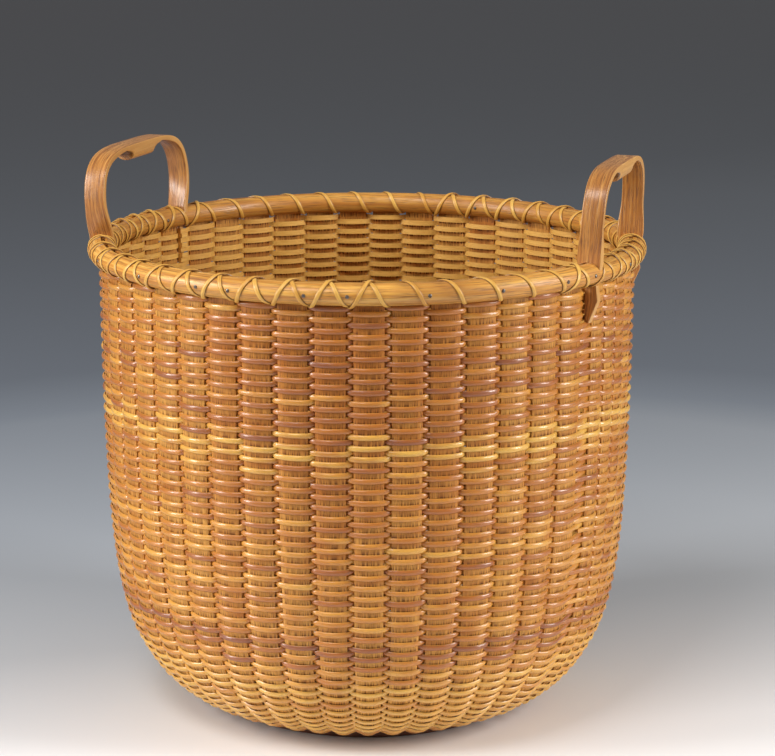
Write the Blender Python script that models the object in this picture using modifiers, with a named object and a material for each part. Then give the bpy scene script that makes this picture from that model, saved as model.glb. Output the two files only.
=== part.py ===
"""Round woven basket with a turned wooden base, flat staves, a cane weave,
two rim hoops lashed together and two fixed loop handles.

Metres, +Z up. The origin is the centre of the base's underside. The handles
stand at +X and -X.
"""
import math

import bmesh
import bpy
from mathutils import Vector

# Turned base
base_radius = 0.095
base_thickness = 0.011
base_edge_round = 0.0016
base_groove_depth = 0.007

# Staves, the flat uprights that stand in the base's groove
rim_stave_radius = 0.15825
stave_thickness = 0.0013
stave_gap = 0.0042
stave_top_recess = 0.0015
front_staves = 18
back_staves = 17
handle_staves = 6

# Weave, one long flat cane that runs over and under the staves
cane_thickness = 0.0011
weave_start_gap = 0.0009
valley_half_thickness = 0.0009
ridge_lip = 0.0008
ridge_thickness = 0.0007
slot_web = 0.0009
foot_slack = 0.0032

# Rim hoops, one outside and one inside the staves
hoop_underside = 0.2738
hoop_height = 0.0125
outer_hoop_thickness = 0.0073
inner_hoop_thickness = 0.0058
hoop_shoulder_share = 0.5
hoop_round_share = 0.24

# Lashing, a narrow cane wound round both hoops between the staves
lashing_width = 0.0026
lashing_thickness = 0.0007
lead_crossed_staves = 1
back_crossed_staves = 9
front_crossed_staves = 12

# Handles, bent strips whose feet are notched for the hoops
handle_thickness = 0.0037
handle_width = 0.0130
handle_twist_height = 0.020
handle_lean = 0.0027
grip_half_length = 0.026
grip_scoop_length = 0.014
grip_depth = 0.0055
grip_scoop = 0.0008
handle_edge_bevel = 0.0007
tail_length = 0.0225
tail_straight_length = 0.009
tail_flare = 0.0012
tail_tip_width = 0.0032

# The two handles were bent by hand, so they differ a little. A half span is
# measured between the staves' middles, and a turn is how far round the rim a
# handle stands from its axis
right_half_span = 0.0520
right_turn = math.radians(0.8)
right_rise = 0.0508
right_bulge = 0.0010
right_foot_width = 0.0162
right_tail_width = 0.0090
left_half_span = 0.0566
left_turn = math.radians(-0.6)
left_rise = 0.0494
left_bulge = 0.0053
left_foot_width = 0.0145
left_tail_width = 0.0044

# Play between neighbouring pieces, how far a cutter runs past its work, and
# how close two points are to count as one
clearance = 0.0003
overrun = 0.004
merge_distance = 0.00001

# Wall outline from the base's groove to the rim, as shares of the way out
# from the base's edge to the rim and of the way up from the groove to the
# top of the weave
wall_outline_shares = (
    (0.013, 0.0),
    (0.286, 0.026),
    (0.560, 0.087),
    (0.790, 0.192),
    (0.917, 0.356),
    (0.979, 0.626),
    (1.0, 1.0),
)

# How square a handle's loop is, where 2 is an ellipse, at what share of its
# rise it is widest, how much closer its sections stand near the feet, and how
# far the grip's sides slant in below the strip
loop_squareness = 4.3
loop_widest_share = 0.5
loop_crowding = 1.5
grip_slant_share = 0.5

# Steps round the turned pieces and along one half of a handle's loop, and the
# sharpest bend that is shaded smooth
hoop_steps = 60
base_steps = 48
loop_steps = 10
smooth_bend = math.radians(40)

# Places that follow from the sizes above
groove_height = base_thickness / 2
hoop_top = hoop_underside + hoop_height
lashing_layer = lashing_thickness + clearance
weave_top = hoop_underside - clearance - 2 * lashing_layer
stave_inner_face = rim_stave_radius - stave_thickness / 2
stave_outer_face = rim_stave_radius + stave_thickness / 2
ridge_half_thickness = stave_thickness / 2 + cane_thickness
ridge_outer_face = stave_thickness / 2 + ridge_thickness
channel_half_thickness = stave_thickness / 2 + clearance
inner_hoop_outside = stave_inner_face - clearance
inner_hoop_inside = inner_hoop_outside - inner_hoop_thickness

# Room that a handle's foot takes between its two neighbouring staves: on one
# side a web of weave, on the other the lashing passes down beside the foot
# and the weave runs slack
foot_near_room = handle_thickness / 2 + slot_web + 2 * clearance
foot_far_room = handle_thickness / 2 + lashing_width + foot_slack + 2 * clearance
gap_angle = stave_gap / rim_stave_radius
near_angle = foot_near_room / rim_stave_radius
far_angle = foot_far_room / rim_stave_radius


def make_material(name, colour, roughness):
    material = bpy.data.materials.new(name)
    material.use_nodes = True
    shader = material.node_tree.nodes["Principled BSDF"]
    shader.inputs["Base Color"].default_value = (*colour, 1.0)
    shader.inputs["Roughness"].default_value = roughness
    shader.inputs["Metallic"].default_value = 0.0
    return material


def make_object(name, mesh, material, collection):
    if material:
        mesh.materials.append(material)
    piece = bpy.data.objects.new(name, mesh)
    collection.objects.link(piece)
    return piece


def finish_mesh(name, shape):
    bmesh.ops.recalc_face_normals(shape, faces=shape.faces)
    mesh = bpy.data.meshes.new(name)
    shape.to_mesh(mesh)
    shape.free()
    mesh.shade_smooth()
    mesh.set_sharp_from_angle(angle=smooth_bend)
    return mesh


def loft(name, sections):
    """Joins like sections, each a closed ring of points, and caps both ends."""
    shape = bmesh.new()
    rings = [[shape.verts.new(point) for point in section] for section in sections]
    for lower, upper in zip(rings, rings[1:]):
        for index, corner in enumerate(lower):
            shape.faces.new((corner, lower[index - 1], upper[index - 1], upper[index]))
    shape.faces.new(rings[0])
    shape.faces.new(reversed(rings[-1]))
    return finish_mesh(name, shape)


def turned(name, profile, steps, material, collection):
    """A profile of radius and height, turned about Z with a Screw modifier."""
    count = len(profile)
    ends_on_axis = profile[0][0] == 0 and profile[-1][0] == 0
    edges = [(index, index + 1) for index in range(count - 1)]
    if not ends_on_axis:
        edges.append((count - 1, 0))
    mesh = bpy.data.meshes.new(name)
    mesh.from_pydata([(radius, 0, height) for radius, height in profile], edges, [])
    piece = make_object(name, mesh, material, collection)
    screw = piece.modifiers.new("Turn", "SCREW")
    screw.axis = "Z"
    screw.steps = steps
    screw.render_steps = steps
    screw.use_merge_vertices = True
    screw.merge_threshold = merge_distance
    screw.use_smooth_shade = True
    return piece


def around(angle, radius, height, sideways=0.0):
    """The point at a radius and height, moved sideways along the rim."""
    x = radius * math.cos(angle) - sideways * math.sin(angle)
    y = radius * math.sin(angle) + sideways * math.cos(angle)
    return Vector((x, y, height))


# The wall's middle line


def wall_line():
    """Radius and height of the staves' middle at each ring of the weave."""
    start = base_radius
    out = rim_stave_radius - start
    up = weave_top - groove_height
    points = [Vector((start + out * far, groove_height + up * high))
              for far, high in wall_outline_shares]
    points[0].x = start + weave_start_gap
    return points


def line_normals(points):
    """Outward unit normals of the line, leaning half way at each bend."""
    normals = []
    for index in range(len(points)):
        before = points[max(index - 1, 0)]
        after = points[min(index + 1, len(points) - 1)]
        along = (after - before).normalized()
        normals.append(Vector((along.y, -along.x)))
    normals[-1] = Vector((1.0, 0.0))
    return normals


# Places round the rim


def foot_angle(half_span):
    """Angle between a handle's middle and the middle of each of its feet."""
    return math.asin(half_span / rim_stave_radius)


def arcs():
    """The four stretches of wall between the handles' feet: the angle at
    which each starts, its span and its number of staves."""
    right = foot_angle(right_half_span)
    left = foot_angle(left_half_span)
    starts = (
        right_turn - right,
        right_turn + right,
        math.pi + left_turn - left,
        math.pi + left_turn + left,
        math.tau + right_turn - right,
    )
    counts = (handle_staves, back_staves, handle_staves, front_staves)
    return [(start, end - start, count)
            for start, end, count in zip(starts, starts[1:], counts)]


def outer_hoop_inside():
    """The outer hoop clears the flat staves' corners and its own facets."""
    widest = max(stave_width(pitch, rim_stave_radius) for angle, pitch in stave_places())
    corner = math.hypot(stave_outer_face, widest / 2)
    return corner / math.cos(math.pi / hoop_steps) + clearance


def outer_hoop_outside():
    return outer_hoop_inside() + outer_hoop_thickness


def stave_width(pitch, radius):
    return pitch * radius - stave_gap


def stave_places():
    """Middle angle and pitch of each stave, round from the first foot."""
    places = []
    for start, span, count in arcs():
        pitch = (span - near_angle - far_angle + gap_angle) / count
        first = start + near_angle + (pitch - gap_angle) / 2
        places += [(first + number * pitch, pitch) for number in range(count)]
    return places


def gap_middles(places):
    """Middle angle of the gap before each stave."""
    middles = []
    for index, (angle, pitch) in enumerate(places):
        last_angle, last_pitch = places[index - 1]
        turn = math.tau if index == 0 else 0.0
        behind = last_angle - turn + last_pitch / 2
        ahead = angle - pitch / 2
        middles.append((behind + ahead) / 2)
    return middles


# Base


def make_base(material, collection):
    groove_top = groove_height + channel_half_thickness
    groove_bottom = groove_height - channel_half_thickness
    groove_floor = base_radius - base_groove_depth
    profile = [
        (0, base_thickness),
        (base_radius - base_edge_round, base_thickness),
        (base_radius, base_thickness - base_edge_round),
        (base_radius, groove_top),
        (groove_floor, groove_top),
        (groove_floor, groove_bottom),
        (base_radius, groove_bottom),
        (base_radius, base_edge_round),
        (base_radius - base_edge_round, 0),
        (0, 0),
    ]
    return turned("base_plate", profile, base_steps, material, collection)


# Staves


def make_stave(name, angle, pitch, material, collection):
    """A flat strip from the groove, up the wall and in between the hoops."""
    line = wall_line()
    normals = line_normals(line)
    foot = Vector((base_radius - base_groove_depth + 2 * clearance, groove_height))
    head = Vector((rim_stave_radius, hoop_top - stave_top_recess))
    line = [foot, *line, head]
    normals = [Vector((0.0, -1.0)), *normals, Vector((1.0, 0.0))]
    half = stave_thickness / 2
    sections = []
    for point, normal in zip(line, normals):
        side = stave_width(pitch, max(point.x, base_radius)) / 2
        outer = point + normal * half
        inner = point - normal * half
        sections.append([
            around(angle, outer.x, outer.y, -side),
            around(angle, outer.x, outer.y, side),
            around(angle, inner.x, inner.y, side),
            around(angle, inner.x, inner.y, -side),
        ])
    return make_object(name, loft(name, sections), material, collection)


# Weave


def weave_rows(angle, pitch, gap_before, point, normal):
    """One stave's share of the weave at one ring: the outer face's valley and
    flat ridge, the inner face's valley and ridge, and the stave's channel."""
    side = stave_width(pitch, point.x) / 2
    channel_side = side + clearance
    ridge_side = side + ridge_lip
    ridge = point + normal * ridge_outer_face
    valley = point + normal * valley_half_thickness
    outer_face = [
        around(gap_before, valley.x, valley.y),
        around(angle, ridge.x, ridge.y, -ridge_side),
        around(angle, ridge.x, ridge.y, ridge_side),
    ]
    ridge = point - normal * ridge_half_thickness
    valley = point - normal * valley_half_thickness
    inner_face = [
        around(gap_before, valley.x, valley.y),
        around(angle, ridge.x, ridge.y),
    ]
    outer = point + normal * channel_half_thickness
    inner = point - normal * channel_half_thickness
    channel = [
        around(angle, outer.x, outer.y, -channel_side),
        around(angle, outer.x, outer.y, channel_side),
        around(angle, inner.x, inner.y, channel_side),
        around(angle, inner.x, inner.y, -channel_side),
    ]
    return outer_face, inner_face, channel


def weave_shell(places):
    """The whole weave as one ribbed shell, open only where staves run."""
    shape = bmesh.new()
    line = wall_line()
    normals = line_normals(line)
    gaps = gap_middles(places)
    rings = []
    for point, normal in zip(line, normals):
        ring = []
        for (angle, pitch), gap in zip(places, gaps):
            parts = weave_rows(angle, pitch, gap, point, normal)
            ring.append([[shape.verts.new(spot) for spot in part] for part in parts])
        rings.append(ring)
    count = len(places)
    for lower, upper in zip(rings, rings[1:]):
        for index in range(count):
            follow = (index + 1) % count
            for face in (0, 1):
                low = lower[index][face] + [lower[follow][face][0]]
                high = upper[index][face] + [upper[follow][face][0]]
                for step in range(len(low) - 1):
                    corners = (low[step], low[step + 1], high[step + 1], high[step])
                    shape.faces.new(corners)
            low = lower[index][2]
            high = upper[index][2]
            for step in range(4):
                shape.faces.new((low[step - 1], low[step], high[step], high[step - 1]))
    for ring in (rings[0], rings[-1]):
        close_weave_edge(shape, ring)
    return finish_mesh("cane_weave", shape)


def close_weave_edge(shape, ring):
    """Flat edge of the weave round each stave's channel."""
    count = len(ring)
    for index in range(count):
        follow = (index + 1) % count
        outer, inner, channel = ring[index]
        outer_next = ring[follow][0][0]
        inner_next = ring[follow][1][0]
        shape.faces.new((outer[1], outer[2], channel[1], channel[0]))
        shape.faces.new((inner[1], channel[2], channel[3]))
        shape.faces.new((outer[0], outer[1], channel[0], channel[3], inner[1], inner[0]))
        shape.faces.new((outer[2], outer_next, inner_next, inner[1], channel[2], channel[1]))


def make_weave(places, material, collection, cutters):
    """The weave, with a slot for each of the handles' tails."""
    piece = make_object("cane_weave", weave_shell(places), material, collection)
    for number, (angle, span, count) in enumerate(arcs()):
        cutter = foot_slot_cutter(f"foot_slot_{number + 1}", angle, cutters)
        cut_away(piece, cutter)


def foot_slot_cutter(name, angle, cutters):
    """A block that opens the weave where a handle's tail passes down."""
    half = handle_thickness / 2 + clearance
    bottom = hoop_underside - tail_length - clearance
    top = weave_top + overrun
    inner = rim_stave_radius - ridge_half_thickness - overrun
    outer = outer_hoop_outside() + overrun
    shape = bmesh.new()
    bmesh.ops.create_cube(shape, size=1.0)
    bmesh.ops.scale(shape, verts=shape.verts, vec=(outer - inner, 2 * half, top - bottom))
    mesh = bpy.data.meshes.new(name)
    shape.to_mesh(mesh)
    shape.free()
    cutter = make_object(name, mesh, None, cutters)
    cutter.location = around(angle, (inner + outer) / 2, (bottom + top) / 2)
    cutter.rotation_euler.z = angle
    hide_cutter(cutter)
    return cutter


def hide_cutter(cutter):
    cutter.hide_render = True
    cutter.display_type = "WIRE"


def cut_away(piece, cutter):
    cut = piece.modifiers.new(cutter.name, "BOOLEAN")
    cut.operation = "DIFFERENCE"
    cut.solver = "EXACT"
    cut.object = cutter


# Rim hoops


def hoop_profile(flat, thickness, outward):
    """Half-round section: flat against the staves, rounded away from them.
    Runs down the outer side, then back up the inner side."""
    shoulder = flat + outward * thickness * hoop_shoulder_share
    crown = flat + outward * thickness
    drop = hoop_height * hoop_round_share
    rounded = [
        (flat, hoop_top),
        (shoulder, hoop_top),
        (crown, hoop_top - drop),
        (crown, hoop_underside + drop),
        (shoulder, hoop_underside),
        (flat, hoop_underside),
    ]
    return rounded if outward > 0 else rounded[::-1]


def make_hoops(material, collection):
    outer = hoop_profile(outer_hoop_inside(), outer_hoop_thickness, 1)
    inner = hoop_profile(inner_hoop_outside, inner_hoop_thickness, -1)
    turned("rim_hoop_outer", outer, hoop_steps, material, collection)
    turned("rim_hoop_inner", inner, hoop_steps, material, collection)


# Lashing


def offset_corners(corners, distance):
    """The inner corners of an open outline, moved outwards with its sides."""
    normals = []
    for before, after in zip(corners, corners[1:]):
        along = (after - before).normalized()
        normals.append(Vector((-along.y, along.x)))
    moved = []
    for corner, first, second in zip(corners[1:-1], normals, normals[1:]):
        mitre = (first + second) / (1 + first.dot(second))
        moved.append(corner + mitre * distance)
    return moved


def lashed_outline():
    """Section of both hoops that a strand runs round, from under the inner
    hoop, over the top, to under the outer hoop."""
    inner = hoop_profile(inner_hoop_outside, inner_hoop_thickness, -1)
    outer = hoop_profile(outer_hoop_inside(), outer_hoop_thickness, 1)
    return [Vector(corner) for corner in (*inner[:5], *outer[1:])]


def turn_shares(outline):
    """How much of its turn a strand has made at each corner. It goes straight
    in and out below the hoops and slants across the rest."""
    lengths = [0.0, 0.0]
    for before, after in zip(outline[1:-2], outline[2:-1]):
        lengths.append(lengths[-1] + (after - before).length)
    lengths.append(lengths[-1])
    return [length / lengths[-1] for length in lengths]


def make_strand(name, passes, layer, material, collection):
    """A cane, flat below and crowned above, wound once round the hoops
    between each pair of neighbouring passes through the wall."""
    outline = lashed_outline()
    flat = offset_corners(outline, clearance + layer * lashing_layer)
    crown = offset_corners(outline, clearance + layer * lashing_layer + lashing_thickness)
    shares = turn_shares(flat)
    side = lashing_width / 2
    sections = []
    for start, end in zip(passes, passes[1:]):
        for low, high, share in zip(flat, crown, shares):
            angle = start + (end - start) * share
            sections.append([
                around(angle, low.x, low.y, -side),
                around(angle, low.x, low.y, side),
                around(angle, high.x, high.y),
            ])
    return make_object(name, loft(name, sections), material, collection)


def lashing_passes(places):
    """Angles where strands pass through the wall: each gap's middle, but
    beside the foot where a handle's foot fills the gap."""
    passes = gap_middles(places)
    beside = (handle_thickness + lashing_width) / 2 + clearance
    turn = beside / rim_stave_radius
    number = 0
    for foot, span, count in arcs():
        passes[number] = foot - turn
        number += count
    return passes


def make_lashings(places, material, collection):
    """A strand all the way round, and one that crosses it at each handle."""
    total = len(places)
    passes = lashing_passes(places)
    passes = [angle - math.tau for angle in passes] + passes
    passes += [angle + math.tau for angle in passes[total:]]
    once_round = passes[total:2 * total + 1]
    once_round[-1] -= 2 * lashing_width / rim_stave_radius
    make_strand("rim_lashing", once_round, 0, material, collection)
    starts = (
        ("cross_lashing_right", total, back_crossed_staves),
        ("cross_lashing_left", total + handle_staves + back_staves, front_crossed_staves),
    )
    for name, foot, beyond in starts:
        first = foot - lead_crossed_staves
        last = foot + handle_staves + beyond
        crossing = passes[first:last + 1]
        make_strand(name, crossing[::-1], 1, material, collection)


# Handles


def loop_turns(half_width):
    """Angles at which the loop's shape is taken, closer near its feet, with
    one at each end of the grip's slopes and of the scoops beside them."""
    half = [math.pi / 2 * (step / loop_steps) ** loop_crowding for step in range(loop_steps)]
    for sideways in (grip_half_length - grip_scoop_length, grip_half_length):
        share = sideways / half_width
        half.append(math.acos(share ** (loop_squareness / 2)))
    half.sort()
    return half + [math.pi / 2] + [math.pi - turn for turn in reversed(half)]


def loop_point(turn, half_width, bulge, rise):
    """Sideways place and height above the rim at an angle round the loop,
    which bulges outwards between its feet and its shoulders."""
    power = 2 / loop_squareness
    sideways = math.copysign(abs(math.cos(turn)) ** power, math.cos(turn))
    height = math.sin(turn) ** power
    swell = bulge * math.sin(math.pi / 2 * min(height / loop_widest_share, 1.0))
    return (half_width + swell) * sideways, (rise - handle_thickness / 2) * height


def smooth_share(value):
    value = min(max(value, 0.0), 1.0)
    return value * value * (3 - 2 * value)


def grip_below(sideways):
    """Depth of the strip's underside: full under the grip, thinner beside it."""
    past = (abs(sideways) - grip_half_length) / grip_scoop_length
    block = grip_depth * (1 - smooth_share(past + 1))
    scoop = grip_scoop * max(0.0, 1 - abs(past))
    return handle_thickness / 2 + block - scoop


def strip_section(centre, across, out, half_width, below):
    """Rectangle with bevelled corners, square to the strip. Below the strip
    itself, the grip's sides slant in."""
    ring = []
    for side, face in ((-1, -1), (1, -1), (1, 1), (-1, 1)):
        depth = handle_thickness / 2 if face > 0 else below
        grip = max(depth - handle_thickness / 2, 0.0)
        bevel = handle_edge_bevel + grip * grip_slant_share
        level = centre + across * side * half_width + out * face * (depth - bevel)
        pulled = centre + across * side * (half_width - bevel) + out * face * depth
        ring += [level, pulled] if side == face else [pulled, level]
    return ring


def loop_sections(foot, rise, bulge, foot_width):
    """The loop between the feet. Its strip lies square to the rim's radius at
    the feet and square to the handle's own plane higher up, and leans out."""
    radius = outer_hoop_outside() - foot_width / 2
    plane = radius * math.cos(foot)
    half_width = radius * math.sin(foot)
    points = [loop_point(turn, half_width, bulge, rise)
              for turn in loop_turns(half_width + bulge)]
    centres = [Vector((plane + handle_lean * height / rise, sideways,
                       hoop_top + clearance + height)) for sideways, height in points]
    sections = []
    last = len(centres) - 1
    for index, centre in enumerate(centres):
        sideways, height = points[index]
        settled = smooth_share(height / handle_twist_height)
        lean = math.copysign(foot * (1 - settled), sideways)
        across = Vector((math.cos(lean), math.sin(lean), 0.0))
        along = centres[min(index + 1, last)] - centres[max(index - 1, 0)]
        if index in (0, last):
            along = Vector((0.0, 0.0, 1.0 if index == 0 else -1.0))
        out = along.cross(across).normalized()
        width = foot_width + (handle_width - foot_width) * settled
        below = grip_below(sideways)
        sections.append(strip_section(centre, across, out, width / 2, below))
    return sections


def tail_sections(angle, foot_width, tail_width, rising):
    """One foot, from its tip in the weave up to the top of the hoops."""
    inner_face = rim_stave_radius - ridge_half_thickness
    outer_face = outer_hoop_outside()
    neck = inner_face + tail_width - tail_flare
    straight_end = hoop_underside - tail_straight_length
    middle = (hoop_underside + hoop_top) / 2
    stations = [
        (hoop_underside - tail_length, inner_face, inner_face + tail_tip_width),
        (straight_end, inner_face, inner_face + tail_width),
        (hoop_underside - clearance, inner_face, neck),
        (middle, inner_face, outer_face),
        (hoop_top, outer_face - foot_width, outer_face),
    ]
    across = Vector((math.cos(angle), math.sin(angle), 0.0))
    out = Vector((-math.sin(angle), math.cos(angle), 0.0))
    if not rising:
        out = -out
    sections = []
    for height, inner, outer in stations:
        centre = around(angle, (inner + outer) / 2, height)
        half_width = (outer - inner) / 2
        below = handle_thickness / 2
        sections.append(strip_section(centre, across, out, half_width, below))
    return sections if rising else sections[::-1]


def hoop_notch_cutter(name, inside, outside, cutters):
    """A ring that cuts the notch in which a hoop passes the foot."""
    low = hoop_underside - clearance
    high = hoop_top + clearance
    profile = [(outside, high), (outside, low), (inside, low), (inside, high)]
    cutter = turned(name, profile, hoop_steps, None, cutters)
    hide_cutter(cutter)
    return cutter


def make_handle(name, turn, shape, material, collection):
    """A handle from tip to tip, turned to its place on the rim."""
    half_span, rise, bulge, foot_width, tail_width = shape
    foot = foot_angle(half_span)
    sections = tail_sections(foot, foot_width, tail_width, True)
    sections += loop_sections(foot, rise, bulge, foot_width)
    sections += tail_sections(-foot, foot_width, tail_width, False)
    handle = make_object(name, loft(name, sections), material, collection)
    handle.rotation_euler.z = turn
    return handle


def make_handles(material, collection, cutters):
    """Two handles, each notched inside and outside for the hoops."""
    outer_cutter = hoop_notch_cutter(
        "outer_hoop_notch",
        outer_hoop_inside() - clearance,
        outer_hoop_outside() + overrun,
        cutters,
    )
    inner_cutter = hoop_notch_cutter(
        "inner_hoop_notch",
        inner_hoop_inside - overrun,
        inner_hoop_outside + clearance,
        cutters,
    )
    right = (right_half_span, right_rise, right_bulge, right_foot_width, right_tail_width)
    left = (left_half_span, left_rise, left_bulge, left_foot_width, left_tail_width)
    for name, turn, shape in (
        ("handle_right", right_turn, right),
        ("handle_left", math.pi + left_turn, left),
    ):
        handle = make_handle(name, turn, shape, material, collection)
        cut_away(handle, outer_cutter)
        cut_away(handle, inner_cutter)


def clear_scene():
    for piece in list(bpy.data.objects):
        bpy.data.objects.remove(piece, do_unlink=True)


def main():
    clear_scene()
    parts = bpy.data.collections.new("basket")
    cutters = bpy.data.collections.new("basket_cutters")
    bpy.context.scene.collection.children.link(parts)
    bpy.context.scene.collection.children.link(cutters)
    base_wood = make_material("base_wood", (0.17, 0.06, 0.03), 0.45)
    stave_wood = make_material("stave_wood", (0.55, 0.32, 0.12), 0.5)
    cane = make_material("cane", (0.62, 0.37, 0.13), 0.4)
    rim_wood = make_material("rim_wood", (0.66, 0.46, 0.18), 0.4)
    handle_wood = make_material("handle_wood", (0.46, 0.24, 0.10), 0.4)
    lashing_cane = make_material("lashing_cane", (0.72, 0.48, 0.17), 0.4)
    places = stave_places()
    make_base(base_wood, parts)
    for number, (angle, pitch) in enumerate(places):
        make_stave(f"stave_{number + 1:02d}", angle, pitch, stave_wood, parts)
    make_weave(places, cane, parts, cutters)
    make_hoops(rim_wood, parts)
    make_lashings(places, lashing_cane, parts)
    make_handles(handle_wood, parts, cutters)


main()
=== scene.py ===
"""Round woven basket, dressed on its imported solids.

Metres, +Z up. The basket stands on the floor at the origin, with its two
handles at +X and -X. One long cane is woven over and under flat staves, from
a turned base up to two half-round hoops that a narrow cane lashes together.
"""

import math
import random

import bmesh
import bpy
from mathutils import Matrix, Vector, geometry


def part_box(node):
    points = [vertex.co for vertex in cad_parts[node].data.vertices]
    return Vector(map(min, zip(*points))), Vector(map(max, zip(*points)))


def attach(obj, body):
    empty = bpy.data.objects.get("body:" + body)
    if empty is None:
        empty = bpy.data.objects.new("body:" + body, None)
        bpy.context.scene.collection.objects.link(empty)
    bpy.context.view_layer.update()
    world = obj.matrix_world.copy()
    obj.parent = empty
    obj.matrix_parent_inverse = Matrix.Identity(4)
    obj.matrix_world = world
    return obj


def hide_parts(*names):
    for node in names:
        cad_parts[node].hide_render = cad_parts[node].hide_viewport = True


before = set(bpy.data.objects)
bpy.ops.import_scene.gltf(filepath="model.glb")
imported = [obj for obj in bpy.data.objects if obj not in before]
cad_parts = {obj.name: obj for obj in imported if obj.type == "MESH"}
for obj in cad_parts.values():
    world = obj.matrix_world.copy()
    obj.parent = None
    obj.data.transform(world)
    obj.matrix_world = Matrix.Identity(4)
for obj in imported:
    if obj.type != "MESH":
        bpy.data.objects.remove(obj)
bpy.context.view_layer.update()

base_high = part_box("base_plate")[1]
outer_low, outer_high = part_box("rim_hoop_outer")
inner_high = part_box("rim_hoop_inner")[1]
right_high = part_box("handle_right")[1]
left_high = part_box("handle_left")[1]

# Sizes that the solids give
base_radius = base_high.x
base_thickness = base_high.z
hoop_underside = outer_low.z
hoop_top = outer_high.z
outer_hoop_outside = outer_high.x
inner_hoop_outside = inner_high.x

# Sizes that every piece shares
clearance = 0.0003
merge_distance = 0.00001
smooth_bend = math.radians(40.0)

# Base
base_groove_depth = 0.007
base_edge_round = 0.0016
base_edge_steps = 5
base_spin_steps = 128

# Staves
stave_thickness = 0.0013
stave_gap = 0.0042
stave_top_recess = 0.0015
stave_edge_round = 0.0002
stave_crown = 0.0009
stave_crown_at_hoops = 0.0003
stave_crown_fade = 0.012
stave_crown_shares = (-0.6, 0.0, 0.6)
stave_steps = 36
front_staves = 18
back_staves = 17
handle_staves = 6

# The long cane, and how it bends round the staves' edges
cane_width = 0.0032
cane_thickness = 0.0011
row_pitch = 0.00315
first_row = 0.0012
cane_bow = 0.0014
cane_rest = 0.00005
bow_quarter_share = 0.75
edge_bend_share = 0.6
edge_lead = 0.0009
edge_tuck = 0.0005
row_wander = 0.00014
width_wander_share = 0.08
gap_width_share = 1.12
tail_width_share = 0.92
tail_row_step = 0.0010
weave_start_gap = 0.0009
weave_top_gap = 0.0023
weave_top_reach = 0.0022
slot_web = 0.0009
foot_slack = 0.0032
weave_seed = 5

# Section of the cane, crowned outside and flat inside, as shares of half its
# width and of its thickness
flat_level = -0.5
cane_section_shares = (
    (-1.0, flat_level), (-0.93, -0.12), (-0.70, 0.22), (-0.38, 0.42), (0.0, 0.5),
    (0.38, 0.42), (0.70, 0.22), (0.93, -0.12), (1.0, flat_level),
)

# Rim hoops
outer_hoop_thickness = 0.0073
inner_hoop_thickness = 0.0058
hoop_spin_steps = 180
hoop_section_points = 32

# Lashing, and its crowned section as shares of half its width and of its
# thickness
lashing_width = 0.0026
lashing_thickness = 0.0008
lashing_lift = 0.00005
lashing_ramp_share = 0.16
lead_crossed_staves = 1
back_crossed_staves = 9
front_crossed_staves = 12
lashing_steps = 12
lashing_section_shares = (
    (-1.0, -0.1), (-1.0, 0.5), (-0.66, 0.86), (0.0, 1.0), (0.66, 0.86), (1.0, 0.5), (1.0, -0.1),
)

# Handles
handle_thickness = 0.0037
handle_width = 0.0130
handle_twist_height = 0.020
handle_lean = 0.0027
handle_edge_round = 0.0007
loop_squareness = 4.3
loop_widest_share = 0.5
loop_crowding = 1.5
loop_steps = 44
corner_steps = 5

# The grip under each handle's top. Its ends are scooped out, and painted shade darkens them
grip_half_length = 0.028
grip_scoop_length = 0.013
grip_depth = 0.0066
grip_scoop = 0.0008
grip_painted_shade = 0.8
grip_painted_shade_border = 0.125
grip_wide_share = 0.62
grip_tall_share = 0.85
grip_end_steps = 8
grip_middle_shares = (0.35, 0.70, 0.98)

# Tails in the weave, and feet let into the hoops
tail_length = 0.0225
tail_straight_length = 0.009
tail_flare = 0.0012
tail_tip_width = 0.0032
foot_sink = 0.0042
foot_sink_inset = 0.0006

# The two handles are bent by hand and differ a little: half the span between
# the feet, the turn off the basket's side, the bulge, and the widths of a foot
# and of its tail
right_half_span = 0.0520
right_turn = math.radians(0.8)
right_bulge = 0.0010
right_foot_width = 0.0162
right_tail_width = 0.0090
left_half_span = 0.0566
left_turn = math.radians(-0.6)
left_bulge = 0.0053
left_foot_width = 0.0145
left_tail_width = 0.0044

# Nails: heads, and where the photograph shows them round the rim, in degrees
# to the right of the nearest point of the rim
nail_head_radius = 0.0011
nail_head_height = 0.0005
nail_segments = 20
nail_rings = 10
outer_nail_bearings = (-50.3, -34.5, -27.2, -11.9, -3.7, 11.8, 26.6, 42.2, 50.6)
inner_nail_bearings = (152.2, -123.6)
unseen_nail_spacing = 15.0

# Wall outline from the base's groove to the rim, as shares of the way out
# from the base's edge to the rim and of the way up from the groove to the
# top of the weave
wall_outline_shares = (
    (0.013, 0.0), (0.286, 0.026), (0.560, 0.087), (0.790, 0.192),
    (0.917, 0.356), (0.979, 0.626), (1.0, 1.0),
)
wall_steps = 12

# The varnish is redder up the front, a little left of the nearest point, and each stave has its own tone.
# It lies in smears, and the staves have dark lines, partly dirt and partly painted shade, that stand on
# each row
red_bearing = math.radians(-6.0)
red_reach = math.radians(46.0)
red_low_share = 0.25
red_spread = 0.35
stave_seed = 7
pale_foot = 1.6
pale_foot_share = 0.30
smear_length = 0.026
smear_height = 0.008
line_width = 0.00085
line_length = 0.030
cane_red_share = 0.16
cane_pale_tone = 0.25

# Tones of the long cane from the base up: each pair gives the share of the wall's height where a tone ends,
# and how dark it is. The band at the very bottom is darker, partly as painted shade by the base and partly
# the cane's own redder tone
cane_tone_shares = (
    (0.052, 0.62), (0.11, 0.26), (0.15, 0.38), (0.225, 0.16), (0.29, 0.74),
    (0.36, 0.42), (0.44, 0.55), (0.52, 0.44), (0.60, 0.60), (0.662, 0.52),
    (0.728, 0.06), (0.78, 0.66), (0.86, 0.58), (0.93, 0.72), (1.0, 0.62),
)

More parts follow.
